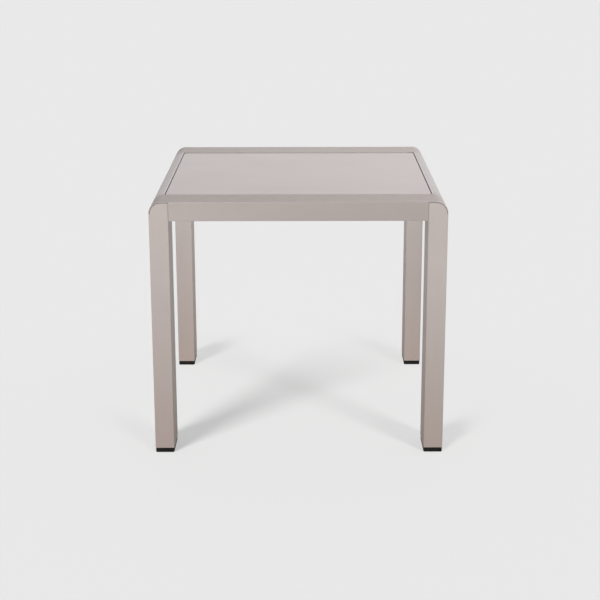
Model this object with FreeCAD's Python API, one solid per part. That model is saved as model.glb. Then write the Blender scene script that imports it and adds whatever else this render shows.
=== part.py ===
import FreeCAD, Part
import math
import os

from FreeCAD import Vector

# Square outdoor side table. Four aluminium tube legs rise to radiused shoulders, two end rails of
# the same tube and two rebated side rails join them, and a painted glass top drops into the frame.
# Millimetres, +Z up, origin on the floor under the middle of the table, front towards -Y.

# Overall size
TABLE_WIDTH = 500.0
TABLE_DEPTH = 500.0
TABLE_HEIGHT = 448.0

# Frame tubes
LEG_WIDTH = 33.0
LEG_DEPTH = 60.0
LEG_WALL = 2.0
RAIL_HEIGHT = 33.0
RAIL_WALL = 2.0
TUBE_EDGE_RADIUS = 1.5

# Rounded shoulder along both sides
SHOULDER_RADIUS = 20.0
SHOULDER_FLAT = 1.2
SHOULDER_LIP_RADIUS = 0.6
CAP_THICKNESS = 1.2
CAP_CHAMFER = 0.5
SEAM_WIDTH = 0.8
SEAM_DEPTH = 1.5

# Glass top and what it rests on
GLASS_THICKNESS = 5.0
GLASS_RECESS = 1.0
GLASS_GAP = 1.0
GLASS_CORNER_RADIUS = 3.0
GLASS_ARRIS = 0.6
PAD_THICKNESS = 1.5
PAD_WIDTH = 8.0
PAD_LENGTH = 30.0
PADS_PER_SIDE_RAIL = 3
PADS_PER_LEDGE = 2

# Angle ledges on the end rails, held by blind rivets
LEDGE_WIDTH = 15.0
LEDGE_DROP = 16.0
LEDGE_WALL = 2.0
LEDGE_END_GAP = 0.5
RIVETS_PER_LEDGE = 2
RIVET_DIAMETER = 4.0
RIVET_HEAD_DIAMETER = 7.6
RIVET_HEAD_HEIGHT = 1.2
RIVET_TAIL = 4.5

# Feet that plug into the legs
FOOT_HEIGHT = 8.4
FOOT_INSET = 0.4
FOOT_CORNER_CHAMFER = 1.5
FOOT_BOTTOM_CHAMFER = 0.8
TREAD_THICKNESS = 4.0
PLUG_LENGTH = 24.0
PLUG_WALL = 2.4
FIN_COUNT = 3
FIN_REACH = 1.8
FIN_THICKNESS = 1.6
FIN_CLEARANCE = 0.1

# Spigots on the legs that the rails slide over
SPIGOT_LENGTH = 32.0
SPIGOT_CLEARANCE = 0.3
SPIGOT_WALL = 3.0
SPIGOT_BASE = 4.0
SPIGOT_FLOOR = 8.0
SPIGOT_LEAD_IN = 1.5

# Screws that fix the rails to the spigots from below
SCREW_DIAMETER = 6.0
SCREW_LENGTH = 14.0
SCREW_HEAD_DIAMETER = 10.5
SCREW_HEAD_HEIGHT = 3.3
SCREW_SOCKET_FLATS = 4.0
SCREW_SOCKET_DEPTH = 2.0
CLEARANCE_HOLE_GAP = 0.3
THREAD_GAP = 0.05

# Places worked out from the sizes
HALF_WIDTH = TABLE_WIDTH / 2
HALF_DEPTH = TABLE_DEPTH / 2
LEG_INNER_X = HALF_WIDTH - LEG_WIDTH
LEG_INNER_Y = HALF_DEPTH - LEG_DEPTH
RAIL_BOTTOM_Z = TABLE_HEIGHT - RAIL_HEIGHT
SHOULDER_CENTRE_X = HALF_WIDTH - SHOULDER_RADIUS
SHOULDER_CENTRE_Z = TABLE_HEIGHT - SHOULDER_RADIUS
REBATE_X = SHOULDER_CENTRE_X - SHOULDER_FLAT
GLASS_TOP_Z = TABLE_HEIGHT - GLASS_RECESS
GLASS_BOTTOM_Z = GLASS_TOP_Z - GLASS_THICKNESS
SEAT_Z = GLASS_BOTTOM_Z - PAD_THICKNESS
GLASS_HALF_WIDTH = REBATE_X - GLASS_GAP
GLASS_HALF_DEPTH = LEG_INNER_Y - GLASS_GAP
END_RAIL_MIDDLE_Y = (LEG_INNER_Y + HALF_DEPTH) / 2
SIDE_RAIL_MIDDLE_X = (LEG_INNER_X + HALF_WIDTH) / 2
LEDGE_HALF_LENGTH = LEG_INNER_X - LEDGE_END_GAP
RIVET_Z = SEAT_Z - LEDGE_WALL - (LEDGE_DROP - LEDGE_WALL) / 2

CUT_MARGIN = 1.0
SAME_PLACE = 0.001
X, Y, Z = Vector(1, 0, 0), Vector(0, 1, 0), Vector(0, 0, 1)
ORIGIN = Vector(0, 0, 0)
CORNERS = {
    "front_left": (-1, -1),
    "front_right": (1, -1),
    "back_left": (-1, 1),
    "back_right": (1, 1),
}
ENDS = {"front": -1, "back": 1}
SIDES = {"left": -1, "right": 1}


# Shared shapes


def box(low, high):
    size = Vector(*high) - Vector(*low)
    return Part.makeBox(size.x, size.y, size.z, Vector(*low))


def edges_along(shape, axis):
    """The straight edges of a box that run along an axis."""
    return [edge for edge in shape.Edges if abs(edge.tangentAt(edge.FirstParameter).dot(axis)) > 0.999]


def edges_at(shape, *places):
    """The edges whose middle lies at one of the given (x, z) places, at any y."""
    found = []
    for edge in shape.Edges:
        middle = edge.valueAt((edge.FirstParameter + edge.LastParameter) / 2)
        if any(math.hypot(middle.x - x, middle.z - z) < SAME_PLACE for x, z in places):
            found.append(edge)
    return found


def flat_face(shape, axis, place):
    """The flat face that lies at a place along an axis and looks along it."""
    for face in shape.Faces:
        square_on = abs(face.normalAt(0, 0).dot(axis)) > 0.999
        if square_on and abs(face.CenterOfMass.dot(axis) - place) < SAME_PLACE:
            return face
    raise ValueError(f"no flat face at {place}")


def rounded_bar(low, high, axis, radius):
    """A box whose four edges along one axis are rounded."""
    bar = box(low, high)
    return bar.makeFillet(radius, edges_along(bar, axis))


def section(start, *steps):
    """A face in the XZ plane. A step is the next corner (x, z), or for an arc a point on it and its end."""
    edges = []
    here = Vector(start[0], 0, start[1])
    for step in (*steps, start):
        if isinstance(step[0], tuple):
            middle, end = (Vector(x, 0, z) for x, z in step)
            edges.append(Part.Arc(here, middle, end).toShape())
        else:
            end = Vector(step[0], 0, step[1])
            edges.append(Part.LineSegment(here, end).toShape())
        here = end
    return Part.Face(Part.Wire(edges))


def along_y(face, start, end):
    """A section in the XZ plane, extruded from one Y to another."""
    face.translate(Vector(0, start, 0))
    return face.extrude(Vector(0, end - start, 0))


def shoulder_arc(inset):
    """The start, middle and end (x, z) of the shoulder's arc, an inset below its surface."""
    radius = SHOULDER_RADIUS - inset
    diagonal = radius * math.sqrt(0.5)
    start = (SHOULDER_CENTRE_X + radius, SHOULDER_CENTRE_Z)
    middle = (SHOULDER_CENTRE_X + diagonal, SHOULDER_CENTRE_Z + diagonal)
    end = (SHOULDER_CENTRE_X, SHOULDER_CENTRE_Z + radius)
    return start, middle, end


def mirrored(shape, x_side, y_side):
    """A shape of the back right corner, taken to another corner."""
    if x_side < 0:
        shape = shape.mirror(ORIGIN, X)
    if y_side < 0:
        shape = shape.mirror(ORIGIN, Y)
    return shape


def spread(count, half_length):
    """Places along a length, centred, each in the middle of an equal share."""
    share = 2 * half_length / count
    return [-half_length + share * (i + 0.5) for i in range(count)]


# Legs and their caps, at the back right corner


def leg_outline(inset):
    """The leg's front view under its cap, drawn in by an inset along the cap's lower face."""
    arc_start, arc_middle, arc_end = shoulder_arc(CAP_THICKNESS + inset)
    return section(
        (LEG_INNER_X, FOOT_HEIGHT),
        (HALF_WIDTH, FOOT_HEIGHT),
        (HALF_WIDTH, SHOULDER_CENTRE_Z),
        arc_start,
        (arc_middle, arc_end),
        (LEG_INNER_X, arc_end[1]),
    )


def leg():
    """A rectangular tube, its top cut to the shoulder under the cap, with a seam in front and behind."""
    tube = rounded_bar(
        (LEG_INNER_X, LEG_INNER_Y, FOOT_HEIGHT),
        (HALF_WIDTH, HALF_DEPTH, TABLE_HEIGHT),
        Z,
        TUBE_EDGE_RADIUS,
    )
    bore = box(
        (LEG_INNER_X + LEG_WALL, LEG_INNER_Y + LEG_WALL, FOOT_HEIGHT - CUT_MARGIN),
        (HALF_WIDTH - LEG_WALL, HALF_DEPTH - LEG_WALL, TABLE_HEIGHT + CUT_MARGIN),
    )
    below_cap = along_y(leg_outline(0), LEG_INNER_Y, HALF_DEPTH)
    below_seam = along_y(leg_outline(SEAM_WIDTH), LEG_INNER_Y, HALF_DEPTH)
    core = along_y(leg_outline(0), LEG_INNER_Y + SEAM_DEPTH, HALF_DEPTH - SEAM_DEPTH)
    return tube.cut(bore).common(below_cap).common(below_seam.fuse(core))


def leg_cap():
    """A bent plate that closes the leg's top and carries the shoulder round over it."""
    outer_start, outer_middle, outer_end = shoulder_arc(0)
    inner_start, inner_middle, inner_end = shoulder_arc(CAP_THICKNESS)
    bent = section(
        outer_start,
        (outer_middle, outer_end),
        (LEG_INNER_X, TABLE_HEIGHT),
        (LEG_INNER_X, TABLE_HEIGHT - CAP_THICKNESS),
        inner_end,
        (inner_middle, inner_start),
    )
    plate = along_y(bent, LEG_INNER_Y, HALF_DEPTH)
    flat_middle = ((SHOULDER_CENTRE_X + LEG_INNER_X) / 2, TABLE_HEIGHT)
    return plate.makeChamfer(CAP_CHAMFER, edges_at(plate, outer_middle, flat_middle))


# Rails


def end_rail():
    """The back rail: a tube between the legs, drilled below for its screws and inside for its rivets."""
    rail = rounded_bar(
        (-LEG_INNER_X, LEG_INNER_Y, RAIL_BOTTOM_Z),
        (LEG_INNER_X, HALF_DEPTH, TABLE_HEIGHT),
        X,
        TUBE_EDGE_RADIUS,
    )
    bore = box(
        (-LEG_INNER_X - CUT_MARGIN, LEG_INNER_Y + RAIL_WALL, RAIL_BOTTOM_Z + RAIL_WALL),
        (LEG_INNER_X + CUT_MARGIN, HALF_DEPTH - RAIL_WALL, TABLE_HEIGHT - RAIL_WALL),
    )
    x, y = end_screw_place()
    holes = [screw_hole(x_side * x, y) for x_side in SIDES.values()]
    holes += [rivet_hole(x) for x in rivet_places()]
    return rail.cut(bore).cut(holes)


def side_rail_section(inset):
    """The right rail's section, drawn in by an inset: the shoulder outside, a step for the glass inside."""
    arc_start, arc_middle, arc_end = shoulder_arc(0)
    outline = section(
        (LEG_INNER_X, RAIL_BOTTOM_Z),
        (HALF_WIDTH, RAIL_BOTTOM_Z),
        arc_start,
        (arc_middle, arc_end),
        (REBATE_X, TABLE_HEIGHT),
        (REBATE_X, SEAT_Z),
        (LEG_INNER_X, SEAT_Z),
    )
    return outline.makeOffset2D(-inset) if inset else outline


def side_rail():
    """The right rail: a hollow extrusion between the legs, drilled below for its screws."""
    rail = along_y(side_rail_section(0), -LEG_INNER_Y, LEG_INNER_Y)
    lower_edges = edges_at(rail, (LEG_INNER_X, RAIL_BOTTOM_Z), (HALF_WIDTH, RAIL_BOTTOM_Z))
    rail = rail.makeFillet(TUBE_EDGE_RADIUS, lower_edges)
    lip_radius = min(SHOULDER_LIP_RADIUS, 0.75 * SHOULDER_FLAT)
    rail = rail.makeFillet(lip_radius, edges_at(rail, (REBATE_X, TABLE_HEIGHT)))
    chamber = along_y(side_rail_section(RAIL_WALL), -LEG_INNER_Y - CUT_MARGIN, LEG_INNER_Y + CUT_MARGIN)
    x, y = side_screw_place()
    return rail.cut(chamber).cut([screw_hole(x, y_side * y) for y_side in ENDS.values()])


# Spigots and the screws from below


def end_screw_place():
    """Where the end rail's screw goes, at its right end."""
    return LEG_INNER_X - SPIGOT_LENGTH / 2, END_RAIL_MIDDLE_Y


def side_screw_place():
    """Where the side rail's screw goes, at its back end."""
    return SIDE_RAIL_MIDDLE_X, LEG_INNER_Y - SPIGOT_LENGTH / 2


def screw_hole(x, y):
    radius = SCREW_DIAMETER / 2 + CLEARANCE_HOLE_GAP
    return Part.makeCylinder(radius, RAIL_WALL + 2 * CUT_MARGIN, Vector(x, y, RAIL_BOTTOM_Z - CUT_MARGIN))


def end_spigot():
    """The stub on the leg's inner face that the end rail slides over: thin walls and a threaded floor."""
    fit = RAIL_WALL + SPIGOT_CLEARANCE
    tip_x = LEG_INNER_X - SPIGOT_LENGTH
    block = box(
        (tip_x, LEG_INNER_Y + fit, RAIL_BOTTOM_Z + fit),
        (LEG_INNER_X, HALF_DEPTH - fit, TABLE_HEIGHT - fit),
    )
    block = block.makeChamfer(SPIGOT_LEAD_IN, flat_face(block, X, tip_x).Edges)
    inset = fit + SPIGOT_WALL
    pocket = box(
        (tip_x, LEG_INNER_Y + inset, RAIL_BOTTOM_Z + fit + SPIGOT_FLOOR),
        (LEG_INNER_X - SPIGOT_BASE, HALF_DEPTH - inset, TABLE_HEIGHT - inset),
    )
    return block.cut(pocket).cut(thread_hole(*end_screw_place()))


def side_spigot():
    """The stub on the leg that the side rail slides over: thin walls and a threaded floor."""
    fit = RAIL_WALL + SPIGOT_CLEARANCE
    tip_y = LEG_INNER_Y - SPIGOT_LENGTH
    block = under_shoulder(fit, RAIL_BOTTOM_Z + fit, tip_y, LEG_INNER_Y)
    block = block.makeChamfer(SPIGOT_LEAD_IN, flat_face(block, Y, tip_y).Edges)
    floor_z = RAIL_BOTTOM_Z + fit + SPIGOT_FLOOR
    pocket = under_shoulder(fit + SPIGOT_WALL, floor_z, tip_y, LEG_INNER_Y - SPIGOT_BASE)
    return block.cut(pocket).cut(thread_hole(*side_screw_place()))


def under_shoulder(inset, low_z, start_y, end_y):
    """A bar inside the right rail, an inset clear of its faces, bevelled to pass under the shoulder."""
    bar = box((LEG_INNER_X + inset, start_y, low_z), (HALF_WIDTH - inset, end_y, SEAT_Z - inset))
    above_bevel = section(
        (HALF_WIDTH - inset, SHOULDER_CENTRE_Z),
        (HALF_WIDTH, SHOULDER_CENTRE_Z),
        (HALF_WIDTH, TABLE_HEIGHT),
        (HALF_WIDTH - inset - SHOULDER_RADIUS, TABLE_HEIGHT),
    )
    return bar.cut(along_y(above_bevel, start_y, end_y))


def thread_hole(x, y):
    """The hole through a spigot's floor that a screw is driven into."""
    radius = SCREW_DIAMETER / 2 + THREAD_GAP
    return Part.makeCylinder(radius, RAIL_WALL + SPIGOT_CLEARANCE + SPIGOT_FLOOR, Vector(x, y, RAIL_BOTTOM_Z))


def screw(x, y):
    """A low-head screw: its head under the rail, with a hexagon socket, and its shank in the spigot."""
    socket_radius = SCREW_SOCKET_FLATS / math.sqrt(3)
    head_z = RAIL_BOTTOM_Z - SCREW_HEAD_HEIGHT
    head = Part.makeCylinder(SCREW_HEAD_DIAMETER / 2, SCREW_HEAD_HEIGHT, Z * head_z)
    shank = Part.makeCylinder(SCREW_DIAMETER / 2, SCREW_LENGTH, Z * RAIL_BOTTOM_Z)
    corners = []
    for i in range(7):
        angle = math.radians(60 * i)
        corners.append(Vector(math.cos(angle), math.sin(angle), 0) * socket_radius + Z * head_z)
    hexagon = Part.Face(Part.makePolygon(corners))
    solid = head.fuse(shank).cut(hexagon.extrude(Z * SCREW_SOCKET_DEPTH))
    solid.translate(Vector(x, y, 0))
    return solid


def screws(place):
    """The same screw at the four corners."""
    x, y = place
    return Part.makeCompound([screw(x_side * x, y_side * y) for x_side, y_side in CORNERS.values()])


# Ledges for the glass, and their rivets


def ledge():
    """The angle on the back rail's inner face, its top level with the side rails' steps."""
    angle = box(
        (-LEDGE_HALF_LENGTH, LEG_INNER_Y - LEDGE_WIDTH, SEAT_Z - LEDGE_DROP),
        (LEDGE_HALF_LENGTH, LEG_INNER_Y, SEAT_Z),
    )
    hollow = box(
        (-LEDGE_HALF_LENGTH, LEG_INNER_Y - LEDGE_WIDTH, SEAT_Z - LEDGE_DROP),
        (LEDGE_HALF_LENGTH, LEG_INNER_Y - LEDGE_WALL, SEAT_Z - LEDGE_WALL),
    )
    holes = [rivet_hole(x) for x in rivet_places()]
    return angle.cut(hollow).cut(holes)


def rivet_places():
    """Where the rivets go along a ledge, between the spigots in the rail's ends."""
    return spread(RIVETS_PER_LEDGE, LEG_INNER_X - SPIGOT_LENGTH)


def rivet_hole(x):
    """The hole through the ledge and the end rail's inner wall."""
    start = LEG_INNER_Y - LEDGE_WALL - CUT_MARGIN
    length = LEDGE_WALL + RAIL_WALL + 2 * CUT_MARGIN
    return Part.makeCylinder(RIVET_DIAMETER / 2 + THREAD_GAP, length, Vector(x, start, RIVET_Z), Y)


def rivet(x):
    """A blind rivet: a low head on the ledge, and a body through both walls with its tail in the rail."""
    head_face = Vector(x, LEG_INNER_Y - LEDGE_WALL, RIVET_Z)
    head = Part.makeCylinder(RIVET_HEAD_DIAMETER / 2, RIVET_HEAD_HEIGHT, head_face, -Y)
    body = Part.makeCylinder(RIVET_DIAMETER / 2, LEDGE_WALL + RAIL_WALL + RIVET_TAIL, head_face, Y)
    return head.fuse(body)


def rivets():
    """The rivets of both ledges."""
    solids = [mirrored(rivet(x), 1, y_side) for y_side in ENDS.values() for x in rivet_places()]
    return Part.makeCompound(solids)


# Glass top and its pads


def glass_top():
    """A sheet with rounded corners and a ground arris on both faces."""
    sheet = rounded_bar(
        (-GLASS_HALF_WIDTH, -GLASS_HALF_DEPTH, GLASS_BOTTOM_Z),
        (GLASS_HALF_WIDTH, GLASS_HALF_DEPTH, GLASS_TOP_Z),
        Z,
        GLASS_CORNER_RADIUS,
    )
    rims = flat_face(sheet, Z, GLASS_BOTTOM_Z).Edges + flat_face(sheet, Z, GLASS_TOP_Z).Edges
    return sheet.makeChamfer(GLASS_ARRIS, rims)


def pads():
    """Soft strips between the glass and its seat, on the side rails' steps and on the ledges."""
    side_x = (GLASS_HALF_WIDTH + LEG_INNER_X) / 2
    ledge_y = LEG_INNER_Y - (GLASS_GAP + LEDGE_WIDTH) / 2
    strips = []
    for x_side in SIDES.values():
        for y in spread(PADS_PER_SIDE_RAIL, LEG_INNER_Y):
            strips.append(pad(x_side * side_x, y, PAD_WIDTH / 2, PAD_LENGTH / 2))
    for y_side in ENDS.values():
        for x in spread(PADS_PER_LEDGE, LEDGE_HALF_LENGTH):
            strips.append(pad(x, y_side * ledge_y, PAD_LENGTH / 2, PAD_WIDTH / 2))
    return Part.makeCompound(strips)


def pad(x, y, half_x, half_y):
    return box((x - half_x, y - half_y, SEAT_Z), (x + half_x, y + half_y, GLASS_BOTTOM_Z))


# Feet


def foot():
    """A moulded foot under the back right leg: a chamfered tread and a hollow, finned plug in the tube."""
    tread = box(
        (LEG_INNER_X + FOOT_INSET, LEG_INNER_Y + FOOT_INSET, 0),
        (HALF_WIDTH - FOOT_INSET, HALF_DEPTH - FOOT_INSET, FOOT_HEIGHT),
    )
    tread = tread.makeChamfer(FOOT_CORNER_CHAMFER, edges_along(tread, Z))
    tread = tread.makeChamfer(FOOT_BOTTOM_CHAMFER, flat_face(tread, Z, 0).Edges)
    plug_top = FOOT_HEIGHT + PLUG_LENGTH
    core = in_bore(FIN_CLEARANCE + FIN_REACH, FOOT_HEIGHT, plug_top)
    fins = []
    for from_middle in spread(FIN_COUNT, PLUG_LENGTH / 2):
        middle = FOOT_HEIGHT + PLUG_LENGTH / 2 + from_middle
        fins.append(in_bore(FIN_CLEARANCE, middle - FIN_THICKNESS / 2, middle + FIN_THICKNESS / 2))
    hollow = in_bore(FIN_CLEARANCE + FIN_REACH + PLUG_WALL, TREAD_THICKNESS, plug_top)
    return tread.fuse([core, *fins]).cut(hollow).removeSplitter()


def in_bore(inset, low_z, high_z):
    """A block in the leg's bore, an inset clear of its walls."""
    gap = LEG_WALL + inset
    return box(
        (LEG_INNER_X + gap, LEG_INNER_Y + gap, low_z),
        (HALF_WIDTH - gap, HALF_DEPTH - gap, high_z),
    )


# The assembly


def table():
    """Every piece of the table by name, in its place."""
    nodes = {"glass_top": glass_top(), "glass_pads": pads()}
    at_corners = {"leg": leg(), "leg_cap": leg_cap(), "foot": foot()}
    at_corners |= {"end_rail_spigot": end_spigot(), "side_rail_spigot": side_spigot()}
    for corner, (x_side, y_side) in CORNERS.items():
        for name, shape in at_corners.items():
            nodes[f"{corner}_{name}"] = mirrored(shape, x_side, y_side)
    for end, y_side in ENDS.items():
        nodes[f"{end}_rail"] = mirrored(end_rail(), 1, y_side)
        nodes[f"{end}_ledge"] = mirrored(ledge(), 1, y_side)
    for side, x_side in SIDES.items():
        nodes[f"{side}_side_rail"] = mirrored(side_rail(), x_side, 1)
    nodes["end_rail_screws"] = screws(end_screw_place())
    nodes["side_rail_screws"] = screws(side_screw_place())
    nodes["ledge_rivets"] = rivets()
    return nodes


def main():
    os.makedirs("parts", exist_ok=True)
    for name, shape in table().items():
        sound = shape.isValid() and all(solid.Volume > 0 for solid in shape.Solids)
        print(f"{name}: {len(shape.Solids)} solids, {shape.Volume / 1000:.2f} cm3, valid {sound}")
        shape.exportStep(f"parts/{name}.step")


main()
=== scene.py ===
import math
from fnmatch import fnmatch

import bmesh
import bpy
from mathutils import Matrix, Vector


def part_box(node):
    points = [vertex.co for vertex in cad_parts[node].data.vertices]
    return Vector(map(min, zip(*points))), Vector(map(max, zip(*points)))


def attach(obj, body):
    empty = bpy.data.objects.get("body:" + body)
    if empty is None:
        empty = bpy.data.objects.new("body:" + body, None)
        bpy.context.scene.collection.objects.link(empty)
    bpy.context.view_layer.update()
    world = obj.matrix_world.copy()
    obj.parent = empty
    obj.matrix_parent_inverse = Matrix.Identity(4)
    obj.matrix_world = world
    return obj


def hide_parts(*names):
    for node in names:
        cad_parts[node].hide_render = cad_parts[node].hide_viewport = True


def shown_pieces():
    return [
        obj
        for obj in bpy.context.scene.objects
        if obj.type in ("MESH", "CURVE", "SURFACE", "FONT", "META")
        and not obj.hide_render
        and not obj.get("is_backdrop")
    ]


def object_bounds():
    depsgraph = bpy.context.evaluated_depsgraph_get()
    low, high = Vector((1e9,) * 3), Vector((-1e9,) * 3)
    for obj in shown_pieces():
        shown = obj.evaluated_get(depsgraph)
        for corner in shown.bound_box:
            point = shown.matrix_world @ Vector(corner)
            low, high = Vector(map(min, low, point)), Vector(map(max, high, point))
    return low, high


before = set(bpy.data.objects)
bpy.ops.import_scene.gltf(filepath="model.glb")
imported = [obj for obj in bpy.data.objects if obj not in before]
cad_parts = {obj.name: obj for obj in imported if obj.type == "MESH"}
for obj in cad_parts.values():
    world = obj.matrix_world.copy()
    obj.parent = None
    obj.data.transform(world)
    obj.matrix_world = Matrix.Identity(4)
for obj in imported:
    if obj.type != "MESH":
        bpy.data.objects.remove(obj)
cad_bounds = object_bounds()

# Looks of the outdoor side table. Metres, +Z up, front towards -Y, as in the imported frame.

MM = 0.001
CORNERS = [(-1, -1), (1, -1), (-1, 1), (1, 1)]

# Camera, as worked out from the photo's edges
IMAGE_SIZE = 600
CAMERA_PLACE = (0.0056, -2.3411, 0.9303)
CAMERA_PITCH = math.radians(14.009)
CAMERA_YAW = math.radians(-0.079)
CAMERA_ROLL = math.radians(-0.127)
FOCAL_LENGTH_PX = 1290.7
PRINCIPAL_ROW = 225.0
SENSOR_WIDTH = 36.0

# Floor, which glows like a lit sweep, and the lamps that throw the shadows on it: azimuth to the right of
# the viewer, elevation and softness in degrees, strength, and the names of the pieces that block the lamp
FLOOR_SIZE = 60.0
FLOOR_GREY = 0.15
FLOOR_GLOW = 0.267
SHADOW_LAMPS = {
    "left_leg_lamp": (-36.7, 39.0, 18.0, 8.4, ("front_left_leg", "front_left_foot_tread")),
    "right_leg_lamp": (39.5, 30.0, 10.0, 2.1, ("front_right_leg", "front_right_foot_tread")),
    "left_foot_lamp": (-36.0, 15.0, 15.0, 10.0, ("back_left_foot_tread", "front_right_foot_tread")),
    "right_foot_lamp": (39.5, 11.0, 15.0, 4.8, ("*_right_foot_tread", "front_left_foot_tread")),
}

# Light on the table: even light all round, brighter along the tilt, and soft boxes with their place, size,
# power, the names of the pieces that they light, and colour. FRAME is every piece but the glass and its
# pads. Hidden boxes do not show in the gloss.
WHITE = (1.0, 1.0, 1.0)
COOL = (0.90, 0.97, 1.0)
PALE_BLUE = (0.86, 0.92, 1.0)
BLUE = (0.50, 0.74, 1.0)
SKY_STRENGTH = 0.52
SKY_TILT = (0.0, 1.0, 0.0)
FRAME = ("[!g]*",)
FRAME_TOP = ("*_rail", "*_cap")
GLASS = ("glass_*",)
SOFT_BOXES = {
    "front_box": ((0.0, -2.4, 0.6), 0.8, 21.5, FRAME, WHITE),
    "front_left_box": ((-0.6, -1.0, 1.1), 0.5, 1.7, FRAME, WHITE),
    "right_box": ((1.2, 0.1, 1.3), 0.8, 12.2, FRAME_TOP, WHITE),
    "glass_box": ((1.2, 0.1, 1.3), 0.8, 11.5, GLASS, WHITE),
    "glass_card": ((0.0, -3.5, 1.3), 7.0, 110.0, GLASS, WHITE),
    "back_box": ((0.0, 0.6, 1.0), 0.4, 0.75, ("back_*",), WHITE),
    "left_leg_box": ((-0.55, -0.75, 0.9), 0.4, 1.9, ("*_left_leg",), COOL),
    "right_leg_box": ((0.55, -0.75, 0.9), 0.4, 1.9, ("*_right_leg",), COOL),
    "left_knee_box": ((-0.24, -0.55, 0.28), 0.2, 0.08, ("front_left_leg",), WHITE),
    "right_knee_box": ((0.24, -0.55, 0.28), 0.2, 0.10, ("front_right_leg",), WHITE),
    "back_leg_box": ((0.0, -0.8, 0.3), 0.4, 3.5, ("back_*",), WHITE),
    "front_rail_box": ((-0.28, -0.45, 0.43), 0.2, 0.07, ("front_rail",), WHITE),
    "left_shoulder_box": ((-0.75, 0.1, 1.3), 0.8, 4.4, ("*_side_rail",), PALE_BLUE),
    "right_shoulder_box": ((0.75, 0.1, 1.3), 0.8, 3.1, ("*_side_rail",), BLUE),
}
HIDDEN_BOXES = ("glass_box",)
BOX_AIM = Vector((0, 0, 0.4))

# Colours
TAUPE = (0.386, 0.337, 0.318)
TAUPE_PALE = (0.408, 0.358, 0.339)
# The next colour is painted shade: the coat, warmer and darker, low down.
TAUPE_LOW_SHADE = (0.372, 0.300, 0.268)
# The next colour is painted shade, darker still low on the legs' inner sides.
TAUPE_INNER_SHADE = (0.268, 0.214, 0.183)
# The next colour is a painted highlight along upper edges and the rebate's lip.
TAUPE_HIGHLIGHT = (0.52, 0.47, 0.45)
# The next two colours are painted shade in seams and in the rebate's gap.
SEAM_SHADE = (0.10, 0.085, 0.075)
REBATE_SHADE = (0.28, 0.243, 0.225)
GLASS_PAINT = (0.388, 0.319, 0.305)
GLASS_PAINT_PALE = (0.402, 0.332, 0.317)
GLASS_EDGE = (0.20, 0.198, 0.188)
GLASS_EDGE_DEEP = (0.13, 0.135, 0.127)
PAINT_BACK = (0.30, 0.262, 0.245)
PAINT_BACK_PALE = (0.34, 0.297, 0.28)
SILICONE = (0.70, 0.71, 0.69)
SILICONE_PALE = (0.80, 0.80, 0.78)
BLACK = (0.007, 0.006, 0.005)
BLACK_PALE = (0.014, 0.012, 0.010)
STEEL = (0.50, 0.50, 0.51)
STEEL_PALE = (0.66, 0.66, 0.67)
ALUMINIUM = (0.62, 0.62, 0.63)
ALUMINIUM_PALE = (0.76, 0.76, 0.77)
CAST = (0.46, 0.46, 0.47)
CAST_PALE = (0.60, 0.60, 0.61)

# Surfaces: how far up the painted shade low down reaches; where the painted highlights on edges and along
# the rebate's lip and the painted shade in seams begin and end; how strongly materials refract and let light
# through; and from what angle an edge is sharp
LOW_SHADE_HEIGHT = 0.33
EDGE_TURN_START = 0.1
EDGE_TURN_END = 0.5
LIP_START = 230.0 * MM
LIP_END = 232.5 * MM
LIP_BOTTOM = 445.5 * MM
LIP_TOP = 446.5 * MM
LIP_HIGHLIGHT = 0.45
SEAM_REACH = 3 * MM
SEAM_START = 0.45
SEAM_END = 0.25
SEAM_SAMPLES = 8
COAT_IOR = 1.42
GLASS_IOR = 1.52
PLASTIC_IOR = 1.22
SILICONE_IOR = 1.41
SILICONE_CLEARNESS = 0.5
SHARP_ANGLE = math.radians(35)

# Glass top
GLASS_CORNER_RADIUS = 3 * MM
GLASS_ARRIS = 0.6 * MM
CORNER_STEPS = 10

# Feet: a tread, and a hollow plug with fins in the leg's bore
LEG_WALL = 2 * MM
FOOT_INSET = 0.4 * MM
FOOT_HEIGHT = 8.4 * MM
FOOT_CORNER_RADIUS = 3 * MM
FOOT_SOLE_RADIUS = 0.6 * MM
SOLE_STEPS = 4
TREAD_THICKNESS = 4 * MM
PLUG_WALL = 2.4 * MM
FIN_COUNT = 3
FIN_REACH = 1.8 * MM
FIN_THICKNESS = 1.6 * MM
FIN_CLEARANCE = 0.1 * MM

# Screws and rivets
SCREW_HEAD_RADIUS = 5.25 * MM
SCREW_CROWN_RADIUS = 3.2 * MM
SCREW_SHANK_RADIUS = 3 * MM
SCREW_SOCKET_FLATS = 4 * MM
SCREW_SOCKET_DEPTH = 2 * MM
LEDGE_WALL = 2 * MM
RAIL_WALL = 2 * MM
RIVET_HEAD_RADIUS = 3.8 * MM
RIVET_HEAD_HEIGHT = 1.2 * MM
RIVET_BODY_RADIUS = 2 * MM
RIVET_BULB_RADIUS = 2.8 * MM
RIVET_EYE_RADIUS = 1.1 * MM
RIVET_EYE_DEPTH = 0.6 * MM
ROUND_STEPS = 36
DOME_STEPS = 6


# Node helpers


def new_material(name):
    """A material with its node tree and its shader."""
    material = bpy.data.materials.new(name)
    material.use_nodes = True
    tree = material.node_tree
    return material, tree, tree.nodes["Principled BSDF"]


def object_place(tree):
    """The point in the table's own frame."""
    return tree.nodes.new("ShaderNodeTexCoord").outputs["Object"]


def noise(tree, place, scale, detail=4.0, stretch=None):
    """Noise from 0 to 1 with a scale in cells a metre, stretched along an axis where asked."""
    texture = tree.nodes.new("ShaderNodeTexNoise")
    texture.inputs["Scale"].default_value = scale
    texture.inputs["Detail"].default_value = detail
    if stretch:
        mapping = tree.nodes.new("ShaderNodeMapping")
        mapping.inputs["Scale"].default_value = stretch
        tree.links.new(place, mapping.inputs["Vector"])
        place = mapping.outputs["Vector"]
    tree.links.new(place, texture.inputs["Vector"])
    return texture.outputs["Fac"]


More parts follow.
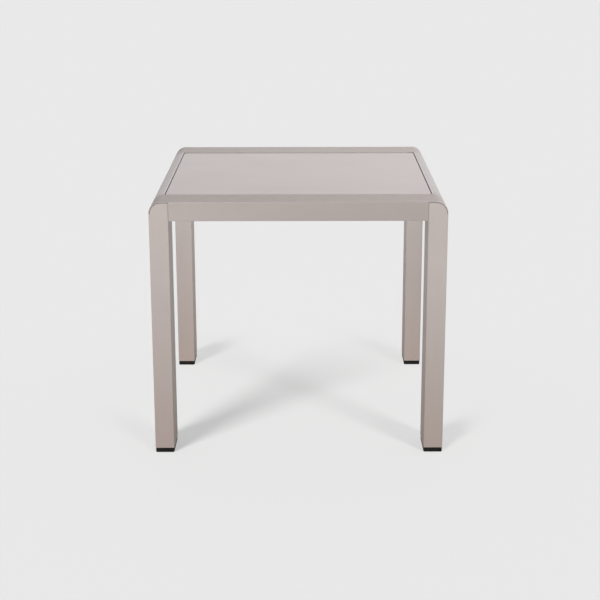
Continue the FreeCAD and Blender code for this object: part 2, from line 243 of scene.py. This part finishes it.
def ramp(tree, factor, low, high, start=0.3, end=0.7):
    """A value or colour that goes from low to high as the factor goes from start to end."""
    is_colour = isinstance(low, tuple)
    span = tree.nodes.new("ShaderNodeMapRange")
    span.inputs["From Min"].default_value = start
    span.inputs["From Max"].default_value = end
    tree.links.new(factor, span.inputs["Value"])
    if not is_colour:
        span.inputs["To Min"].default_value = low
        span.inputs["To Max"].default_value = high
        return span.outputs["Result"]
    return mix(tree, span.outputs["Result"], low, high)


def mix(tree, factor, first, second):
    """A mix of two colours, each a colour or a socket."""
    node = tree.nodes.new("ShaderNodeMix")
    node.data_type = "RGBA"
    tree.links.new(factor, node.inputs["Factor"])
    for socket, colour in ((node.inputs["A"], first), (node.inputs["B"], second)):
        if isinstance(colour, tuple):
            socket.default_value = (*colour, 1)
        else:
            tree.links.new(colour, socket)
    return node.outputs["Result"]


def tint(tree, shader, grain, dark, pale):
    """Lets the shader's colour follow a grain, from dark to pale."""
    tree.links.new(ramp(tree, grain, dark, pale), shader.inputs["Base Color"])


def roughen(tree, shader, grain, smooth, rough):
    """Lets the shader's roughness follow a grain, from smooth to rough."""
    tree.links.new(ramp(tree, grain, smooth, rough), shader.inputs["Roughness"])


def bump(tree, shader, height, strength, distance):
    """Lets the shader's relief follow a height."""
    node = tree.nodes.new("ShaderNodeBump")
    node.inputs["Strength"].default_value = strength
    node.inputs["Distance"].default_value = distance
    tree.links.new(height, node.inputs["Height"])
    tree.links.new(node.outputs["Normal"], shader.inputs["Normal"])


def calculate(tree, operation, first, second=0.0):
    """A value worked out from two values, each a number or a socket."""
    node = tree.nodes.new("ShaderNodeMath")
    node.operation = operation
    for socket, value in zip(node.inputs, (first, second)):
        if isinstance(value, float):
            socket.default_value = value
        else:
            tree.links.new(value, socket)
    return node.outputs["Value"]


def split(tree, vector):
    """The three parts of a vector."""
    parts = tree.nodes.new("ShaderNodeSeparateXYZ")
    tree.links.new(vector, parts.inputs["Vector"])
    return parts.outputs


def facing(tree):
    """How far a face looks inwards from the left or right, to the front or back, and up."""
    coordinates = tree.nodes.new("ShaderNodeTexCoord").outputs
    place = split(tree, coordinates["Object"])
    normal = split(tree, coordinates["Normal"])
    outwards = calculate(tree, "MULTIPLY", normal["X"], calculate(tree, "SIGN", place["X"]))
    inwards = calculate(tree, "MAXIMUM", calculate(tree, "MULTIPLY", outwards, -1.0), 0.0)
    return inwards, calculate(tree, "ABSOLUTE", normal["Y"]), normal["Z"]


def edge_highlight_mask(tree):
    """Painted highlight: 1 on upper edges that turn to the front, the back or the table's middle, 0 on faces
    and shoulders.
    """
    inwards, endwards, upwards = facing(tree)
    turn = calculate(tree, "ADD", inwards, endwards)
    turn = calculate(tree, "MULTIPLY", turn, upwards)
    return ramp(tree, turn, 0.0, 1.0, EDGE_TURN_START, EDGE_TURN_END)


def lip_highlight_mask(tree):
    """How strong the painted highlight is along the lip of a side rail's rebate, and 0 elsewhere."""
    place = split(tree, object_place(tree))
    across = ramp(tree, calculate(tree, "ABSOLUTE", place["X"]), LIP_HIGHLIGHT, 0.0, LIP_START, LIP_END)
    return calculate(tree, "MULTIPLY", across, ramp(tree, place["Z"], 0.0, 1.0, LIP_BOTTOM, LIP_TOP))


def seam_shade_mask(tree):
    """Painted shade: 1 in narrow seams and 0 on open faces, from how much of the surroundings within reach
    is open.
    """
    openness = tree.nodes.new("ShaderNodeAmbientOcclusion")
    openness.samples = SEAM_SAMPLES
    openness.inputs["Distance"].default_value = SEAM_REACH
    return ramp(tree, openness.outputs["AO"], 0.0, 1.0, SEAM_START, SEAM_END)


# Materials


def powder_coat(name, bright_mask, recess_shade):
    """Satin taupe powder coat: orange peel, clouds, a painted highlight on edges, painted shade in seams,
    and painted shade low down, darker on the legs' inner sides.
    """
    material, tree, shader = new_material(name)
    place = object_place(tree)
    low_down = ramp(tree, split(tree, place)["Z"], 1.0, 0.0, 0.0, LOW_SHADE_HEIGHT)
    inwards = facing(tree)[0]
    colour = ramp(tree, noise(tree, place, scale=9.0), TAUPE, TAUPE_PALE)
    # Painted shade: warmer and darker low down, and darker still low on the legs' inner sides.
    colour = mix(tree, low_down, colour, TAUPE_LOW_SHADE)
    colour = mix(tree, calculate(tree, "MULTIPLY", inwards, low_down), colour, TAUPE_INNER_SHADE)
    # Painted highlight along the upper edges or the rebate's lip.
    colour = mix(tree, bright_mask(tree), colour, TAUPE_HIGHLIGHT)
    # Painted shade in seams.
    colour = mix(tree, seam_shade_mask(tree), colour, recess_shade)
    tree.links.new(colour, shader.inputs["Base Color"])
    roughen(tree, shader, noise(tree, place, scale=60.0), smooth=0.50, rough=0.62)
    shader.inputs["IOR"].default_value = COAT_IOR
    bump(tree, shader, noise(tree, place, scale=900.0, detail=2.0), strength=0.12, distance=0.15 * MM)
    return material


def glass_face():
    """Taupe paint seen through clear glass: a smooth, glossy face with faint wipe marks."""
    material, tree, shader = new_material("painted_glass_face")
    place = object_place(tree)
    tint(tree, shader, noise(tree, place, scale=5.0, detail=2.0), GLASS_PAINT, GLASS_PAINT_PALE)
    wipes = noise(tree, place, scale=9.0, stretch=(1.0, 2.0, 1.0))
    roughen(tree, shader, wipes, smooth=0.17, rough=0.23)
    shader.inputs["IOR"].default_value = GLASS_IOR
    bump(tree, shader, noise(tree, place, scale=12.0, detail=1.0), strength=0.02, distance=0.2 * MM)
    return material


def glass_edge():
    """The ground edge of the sheet, greenish and silky."""
    material, tree, shader = new_material("ground_glass_edge")
    place = object_place(tree)
    tint(tree, shader, noise(tree, place, scale=120.0), GLASS_EDGE_DEEP, GLASS_EDGE)
    roughen(tree, shader, noise(tree, place, scale=700.0), smooth=0.28, rough=0.42)
    shader.inputs["IOR"].default_value = GLASS_IOR
    bump(tree, shader, noise(tree, place, scale=1500.0, detail=2.0), strength=0.1, distance=0.05 * MM)
    return material


def glass_back():
    """The painted underside: rolled paint, matte and a little uneven."""
    material, tree, shader = new_material("paint_behind_glass")
    place = object_place(tree)
    tint(tree, shader, noise(tree, place, scale=25.0), PAINT_BACK, PAINT_BACK_PALE)
    roughen(tree, shader, noise(tree, place, scale=80.0), smooth=0.55, rough=0.72)
    bump(tree, shader, noise(tree, place, scale=420.0, detail=3.0), strength=0.2, distance=0.1 * MM)
    return material


def moulded_plastic():
    """Black moulded plastic with a fine spark-eroded texture."""
    material, tree, shader = new_material("black_moulded_plastic")
    place = object_place(tree)
    tint(tree, shader, noise(tree, place, scale=160.0), BLACK, BLACK_PALE)
    roughen(tree, shader, noise(tree, place, scale=500.0), smooth=0.50, rough=0.64)
    shader.inputs["IOR"].default_value = PLASTIC_IOR
    bump(tree, shader, noise(tree, place, scale=2600.0, detail=2.0), strength=0.25, distance=0.08 * MM)
    return material


def silicone():
    """Milky clear silicone strips."""
    material, tree, shader = new_material("clear_silicone")
    place = object_place(tree)
    tint(tree, shader, noise(tree, place, scale=200.0), SILICONE, SILICONE_PALE)
    roughen(tree, shader, noise(tree, place, scale=600.0), smooth=0.30, rough=0.45)
    shader.inputs["Transmission Weight"].default_value = SILICONE_CLEARNESS
    shader.inputs["IOR"].default_value = SILICONE_IOR
    bump(tree, shader, noise(tree, place, scale=900.0), strength=0.1, distance=0.1 * MM)
    return material


def metal(name, dark, pale, smooth, rough, scale, depth, stretch=None):
    """Bare metal whose tone, roughness and relief follow one grain."""
    material, tree, shader = new_material(name)
    grain = noise(tree, object_place(tree), scale, detail=5.0, stretch=stretch)
    tint(tree, shader, grain, dark, pale)
    roughen(tree, shader, grain, smooth, rough)
    shader.inputs["Metallic"].default_value = 1.0
    bump(tree, shader, grain, strength=0.3, distance=depth)
    return material


def dress_frame():
    """Gives every node that stays as the CAD made it its material."""
    # Each coat gets a painted highlight, on edges or along the rebate's lip, and painted shade in its seams.
    coat = powder_coat("taupe_powder_coat", edge_highlight_mask, SEAM_SHADE)
    rebated_coat = powder_coat("rebated_rail_coat", lip_highlight_mask, REBATE_SHADE)
    cast = metal("cast_aluminium", CAST, CAST_PALE, smooth=0.48, rough=0.66, scale=700.0, depth=0.15 * MM)
    strips = silicone()
    for name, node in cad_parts.items():
        if name.endswith("side_rail"):
            node.data.materials[0] = rebated_coat
        elif name.endswith(("leg", "leg_cap", "rail", "ledge")):
            node.data.materials[0] = coat
        elif name.endswith("spigot"):
            node.data.materials[0] = cast
        elif name == "glass_pads":
            node.data.materials[0] = strips


# Mesh helpers


def circle(radius, along, centre, axes):
    """A ring of points round an axis, at a place along it."""
    across, up, axis = axes
    ring = []
    for i in range(ROUND_STEPS):
        angle = 2 * math.pi * i / ROUND_STEPS
        ring.append(centre + axis * along + (across * math.cos(angle) + up * math.sin(angle)) * radius)
    return ring


def hexagon(flats, along, centre, axes):
    """A ring of points on a hexagon, as many as a circle has and at the same angles."""
    ring = []
    for i, point in enumerate(circle(1.0, along, centre, axes)):
        angle = 2 * math.pi * i / ROUND_STEPS
        from_flat = (angle + math.pi / 6) % (math.pi / 3) - math.pi / 6
        middle = centre + axes[2] * along
        ring.append(middle + (point - middle) * (flats / 2 / math.cos(from_flat)))
    return ring


def rounded_rectangle(low, high, radius, z):
    """A ring of points round a rectangle with rounded corners."""
    ring = []
    middle = ((low[0] + high[0]) / 2, (low[1] + high[1]) / 2)
    half = ((high[0] - low[0]) / 2 - radius, (high[1] - low[1]) / 2 - radius)
    for quarter, (x_side, y_side) in enumerate([(1, 1), (-1, 1), (-1, -1), (1, -1)]):
        for step in range(CORNER_STEPS + 1):
            angle = math.pi / 2 * (quarter + step / CORNER_STEPS)
            x = middle[0] + x_side * half[0] + radius * math.cos(angle)
            y = middle[1] + y_side * half[1] + radius * math.sin(angle)
            ring.append(Vector((x, y, z)))
    return ring


def skin(mesh, rings):
    """A closed skin through rings of the same number of points, capped at both ends. Returns its faces."""
    loops = [[mesh.verts.new(point) for point in ring] for ring in rings]
    faces = [mesh.faces.new(loops[0][::-1]), mesh.faces.new(loops[-1])]
    for lower, upper in zip(loops, loops[1:]):
        for i in range(len(lower)):
            j = (i + 1) % len(lower)
            faces.append(mesh.faces.new((lower[i], lower[j], upper[j], upper[i])))
    return faces


def piece(name, mesh, materials, body, node):
    """A finished piece in place of a CAD node: smooth where it curves and sharp at its edges."""
    bmesh.ops.recalc_face_normals(mesh, faces=mesh.faces)
    data = bpy.data.meshes.new(name)
    mesh.to_mesh(data)
    mesh.free()
    for material in materials:
        data.materials.append(material)
    data.shade_smooth()
    data.set_sharp_from_angle(angle=SHARP_ANGLE)
    made = bpy.data.objects.new(name, data)
    bpy.context.scene.collection.objects.link(made)
    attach(made, body)
    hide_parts(node)


# Pieces


def glass_top():
    """The sheet, with a ground edge, an arris on both faces and paint on its underside."""
    low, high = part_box("glass_top")
    inset = Vector((GLASS_ARRIS, GLASS_ARRIS, 0))
    inner_radius = GLASS_CORNER_RADIUS - GLASS_ARRIS
    mesh = bmesh.new()
    faces = skin(
        mesh,
        [
            rounded_rectangle(low + inset, high - inset, inner_radius, low.z),
            rounded_rectangle(low, high, GLASS_CORNER_RADIUS, low.z + GLASS_ARRIS),
            rounded_rectangle(low, high, GLASS_CORNER_RADIUS, high.z - GLASS_ARRIS),
            rounded_rectangle(low + inset, high - inset, inner_radius, high.z),
        ],
    )
    looks = [glass_face(), glass_edge(), glass_back()]
    upper, edge, under = range(len(looks))
    for face in faces:
        face.material_index = edge
    faces[0].material_index = under
    faces[1].material_index = upper
    piece("glass_sheet", mesh, looks, "glass", "glass_top")


def feet():
    """Moulded feet: a tread with rounded corners, and a hollow plug with fins that goes up the leg."""
    plastic = moulded_plastic()
    for name in [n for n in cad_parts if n.endswith("_foot")]:
        low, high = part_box(name)
        mesh = bmesh.new()
        profile = foot_profile(high.z - low.z)
        skin(mesh, [foot_ring(low, high, inset, low.z + rise) for inset, rise in profile])
        piece(f"{name}_tread", mesh, [plastic], "frame", name)


def foot_ring(low, high, inset, z):
    """A ring round the foot, drawn in by an inset."""
    draw = Vector((inset, inset, 0))
    return rounded_rectangle(low + draw, high - draw, max(FOOT_CORNER_RADIUS - inset, FOOT_SOLE_RADIUS), z)


def foot_profile(top):
    """The foot's section as pairs of inset and height: sole, tread, finned plug, then down its hollow."""
    profile = []
    for step in range(SOLE_STEPS + 1):
        angle = math.pi / 2 * step / SOLE_STEPS
        inset = FOOT_SOLE_RADIUS * (1 - math.sin(angle))
        profile.append((inset, FOOT_SOLE_RADIUS * (1 - math.cos(angle))))
    fin = LEG_WALL + FIN_CLEARANCE - FOOT_INSET
    core = fin + FIN_REACH
    hollow = core + PLUG_WALL
    profile += [(0, FOOT_HEIGHT), (core, FOOT_HEIGHT)]
    share = (top - FOOT_HEIGHT) / FIN_COUNT
    for i in range(FIN_COUNT):
        lower = FOOT_HEIGHT + share * (i + 0.5) - FIN_THICKNESS / 2
        upper = lower + FIN_THICKNESS
        profile += [(core, lower), (fin, lower), (fin, upper), (core, upper)]
    return profile + [(core, top), (hollow, top), (hollow, TREAD_THICKNESS)]


def screws():
    """Button-head screws with a hexagon socket, in place of the plain ones."""
    brushed = {"scale": 900.0, "depth": 0.02 * MM, "stretch": (1, 9, 1)}
    steel = metal("brushed_stainless", STEEL, STEEL_PALE, smooth=0.22, rough=0.38, **brushed)
    rail_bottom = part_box("front_rail")[0].z
    axes = (Vector((1, 0, 0)), Vector((0, 1, 0)), Vector((0, 0, 1)))
    for name in ("end_rail_screws", "side_rail_screws"):
        low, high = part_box(name)
        mesh = bmesh.new()
        for x_side, y_side in CORNERS:
            x = x_side * (high.x - SCREW_HEAD_RADIUS)
            y = y_side * (high.y - SCREW_HEAD_RADIUS)
            screw(mesh, Vector((x, y, rail_bottom)), axes, rail_bottom - low.z, high.z - rail_bottom)
        piece(name.replace("screws", "button_screws"), mesh, [steel], "frame", name)


def screw(mesh, seat, axes, head_height, length):
    """One screw, from its socket's floor over the domed head to the shank's tip."""
    rings = [
        hexagon(SCREW_SOCKET_FLATS, SCREW_SOCKET_DEPTH - head_height, seat, axes),
        hexagon(SCREW_SOCKET_FLATS, -head_height, seat, axes),
    ]
    for step in range(DOME_STEPS + 1):
        angle = math.pi / 2 * step / DOME_STEPS
        radius = SCREW_CROWN_RADIUS + (SCREW_HEAD_RADIUS - SCREW_CROWN_RADIUS) * math.sin(angle)
        rings.append(circle(radius, -head_height * math.cos(angle), seat, axes))
    rings.append(circle(SCREW_SHANK_RADIUS, 0, seat, axes))
    rings.append(circle(SCREW_SHANK_RADIUS, length, seat, axes))
    skin(mesh, rings)


def rivets():
    """Domed blind rivets with the eye that the mandrel leaves."""
    grain = {"scale": 800.0, "depth": 0.03 * MM}
    bare = metal("bare_aluminium", ALUMINIUM, ALUMINIUM_PALE, smooth=0.28, rough=0.44, **grain)
    low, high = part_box("ledge_rivets")
    middle_z = (low.z + high.z) / 2
    seat_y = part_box("back_rail")[0].y
    length = high.y - seat_y
    mesh = bmesh.new()
    for x_side, y_side in CORNERS:
        axis = Vector((0, y_side, 0))
        axes = (Vector((1, 0, 0)), Vector((0, 0, 1)), axis)
        wall = Vector((x_side * (high.x - RIVET_HEAD_RADIUS), y_side * seat_y, middle_z))
        rivet(mesh, wall, axes, length)
    piece("domed_rivets", mesh, [bare], "frame", "ledge_rivets")


def rivet(mesh, wall, axes, length):
    """One rivet, from the eye in its head through the ledge and the rail's wall to the bulb behind them."""
    head_top = -LEDGE_WALL - RIVET_HEAD_HEIGHT
    rings = [circle(RIVET_EYE_RADIUS, head_top + RIVET_EYE_DEPTH, wall, axes)]
    for step in range(DOME_STEPS + 1):
        angle = math.pi / 2 * step / DOME_STEPS
        radius = RIVET_EYE_RADIUS + (RIVET_HEAD_RADIUS - RIVET_EYE_RADIUS) * math.sin(angle)
        rings.append(circle(radius, -LEDGE_WALL - RIVET_HEAD_HEIGHT * math.cos(angle), wall, axes))
    rings.append(circle(RIVET_BODY_RADIUS, -LEDGE_WALL, wall, axes))
    rings.append(circle(RIVET_BODY_RADIUS, RAIL_WALL, wall, axes))
    bulb_middle = (RAIL_WALL + length) / 2
    for step in range(1, DOME_STEPS + 1):
        angle = math.pi * step / DOME_STEPS
        swell = (RIVET_BULB_RADIUS - RIVET_BODY_RADIUS) * math.sin(angle)
        along = bulb_middle - (length - RAIL_WALL) / 2 * math.cos(angle)
        rings.append(circle(RIVET_BODY_RADIUS + swell, along, wall, axes))
    skin(mesh, rings)


# Stage


def floor():
    """A plain pale floor that fills the view."""
    bpy.ops.mesh.primitive_plane_add(size=FLOOR_SIZE)
    plane = bpy.context.object
    plane.name = "floor"
    material, _, shader = new_material("pale_floor")
    shader.inputs["Base Color"].default_value = (FLOOR_GREY, FLOOR_GREY, FLOOR_GREY, 1)
    shader.inputs["Roughness"].default_value = 1.0
    shader.inputs["Specular IOR Level"].default_value = 0.0
    shader.inputs["Emission Color"].default_value = (1, 1, 1, 1)
    shader.inputs["Emission Strength"].default_value = FLOOR_GLOW
    plane.data.materials.append(material)
    plane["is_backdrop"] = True
    return plane


def named(*patterns):
    """The pieces whose names match one of the patterns."""
    return [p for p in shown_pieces() if any(fnmatch(p.name, pattern) for pattern in patterns)]


def group(name, objects):
    """A collection of objects that a lamp lights or is blocked by."""
    made = bpy.data.collections.new(name)
    for member in objects:
        made.objects.link(member)
    return made


def lamp(name, kind, power, place, aim, receivers, blockers=None):
    """A lamp at a place that looks at an aim and lights only its receivers."""
    light = bpy.data.lights.new(name, kind)
    light.energy = power
    holder = bpy.data.objects.new(name, light)
    bpy.context.scene.collection.objects.link(holder)
    holder.location = place
    holder.rotation_euler = (Vector(place) - aim).to_track_quat("Z", "Y").to_euler()
    holder.light_linking.receiver_collection = receivers
    holder.light_linking.blocker_collection = blockers
    return holder


def sky():
    """Even light all round, a little brighter towards the tilt."""
    world = bpy.data.worlds.new("studio")
    world.use_nodes = True
    tree = world.node_tree
    direction = tree.nodes.new("ShaderNodeTexCoord").outputs["Generated"]
    tilt = tree.nodes.new("ShaderNodeVectorMath")
    tilt.operation = "DOT_PRODUCT"
    tilt.inputs[1].default_value = SKY_TILT
    tree.links.new(direction, tilt.inputs[0])
    strength = ramp(tree, tilt.outputs["Value"], 0.0, 2 * SKY_STRENGTH, -1.0, 1.0)
    tree.links.new(strength, tree.nodes["Background"].inputs["Strength"])
    tree.nodes["Background"].inputs["Color"].default_value = (1, 1, 1, 1)
    bpy.context.scene.world = world


def lights(plane):
    """The sky, the soft boxes on the table and the lamps that throw the legs' shadows."""
    sky()
    for name, (place, size, power, lit, colour) in SOFT_BOXES.items():
        box = lamp(name, "AREA", power, place, BOX_AIM, group(name, named(*lit)))
        box.data.size = size
        box.data.color = colour
        box.visible_glossy = name not in HIDDEN_BOXES
    for name, (azimuth, elevation, softness, strength, blockers) in SHADOW_LAMPS.items():
        across, up = math.radians(azimuth), math.radians(elevation)
        place = Vector((math.sin(across) * math.cos(up), -math.cos(across) * math.cos(up), math.sin(up)))
        receivers = group(name + "_floor", [plane])
        key = lamp(name, "SUN", strength, place, Vector(), receivers, group(name, named(*blockers)))
        key.data.angle = math.radians(softness)
    bpy.context.scene.view_settings.view_transform = "Standard"


def camera():
    """The photo's camera."""
    lens = bpy.data.cameras.new("camera")
    lens.sensor_width = SENSOR_WIDTH
    lens.lens = FOCAL_LENGTH_PX / IMAGE_SIZE * SENSOR_WIDTH
    lens.shift_y = (PRINCIPAL_ROW - IMAGE_SIZE / 2) / IMAGE_SIZE
    holder = bpy.data.objects.new("camera", lens)
    bpy.context.scene.collection.objects.link(holder)
    turn = Matrix.Rotation(-CAMERA_YAW, 4, "Z") @ Matrix.Rotation(math.pi / 2 - CAMERA_PITCH, 4, "X")
    holder.matrix_world = Matrix.Translation(CAMERA_PLACE) @ turn @ Matrix.Rotation(CAMERA_ROLL, 4, "Z")
    bpy.context.scene.camera = holder


def write_sizes():
    """Works out the CAD model's box and the visual model's box."""
    boxes = {"cad": cad_bounds, "visual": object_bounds()}
    boxes = {name: [list(corner) for corner in corners] for name, corners in boxes.items()}


dress_frame()
glass_top()
feet()
screws()
rivets()
lights(floor())
camera()
write_sizes()
